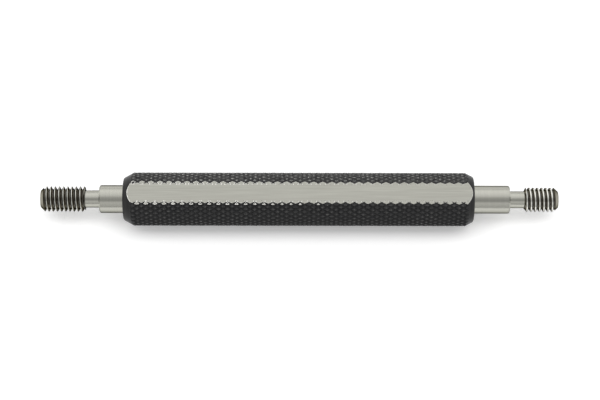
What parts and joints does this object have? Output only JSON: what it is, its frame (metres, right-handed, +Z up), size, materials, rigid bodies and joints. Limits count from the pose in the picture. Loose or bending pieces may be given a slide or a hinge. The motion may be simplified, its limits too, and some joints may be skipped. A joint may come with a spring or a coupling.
{
  "type": "thread plug gauge",
  "caption": "Double-ended plug gauge for internal metric threads: knurled black steel handle with a ground marking flat, a GO threaded member at one end and a NOT GO at the other.",
  "frame": {"origin": "on the gauge's axis, at the middle of the whole length, tip to tip", "axes": "+X along the axis from the GO end to the NOT GO end; +Z up, square to the marking flat, as the gauge lies on its handle with the flat up"},
  "size_m": [0.1232, 0.0126, 0.0119],
  "materials": {
    "handle_black_oxide": "black-oxidised steel, diamond knurled, with one bright ground flat",
    "member_ground_steel": "hardened gauge steel, turned and ground, satin"
  },
  "bodies": {
    "root": {"handle": "handle_black_oxide", "go_member": "member_ground_steel", "no_go_member": "member_ground_steel"}
  },
  "joints": []
}
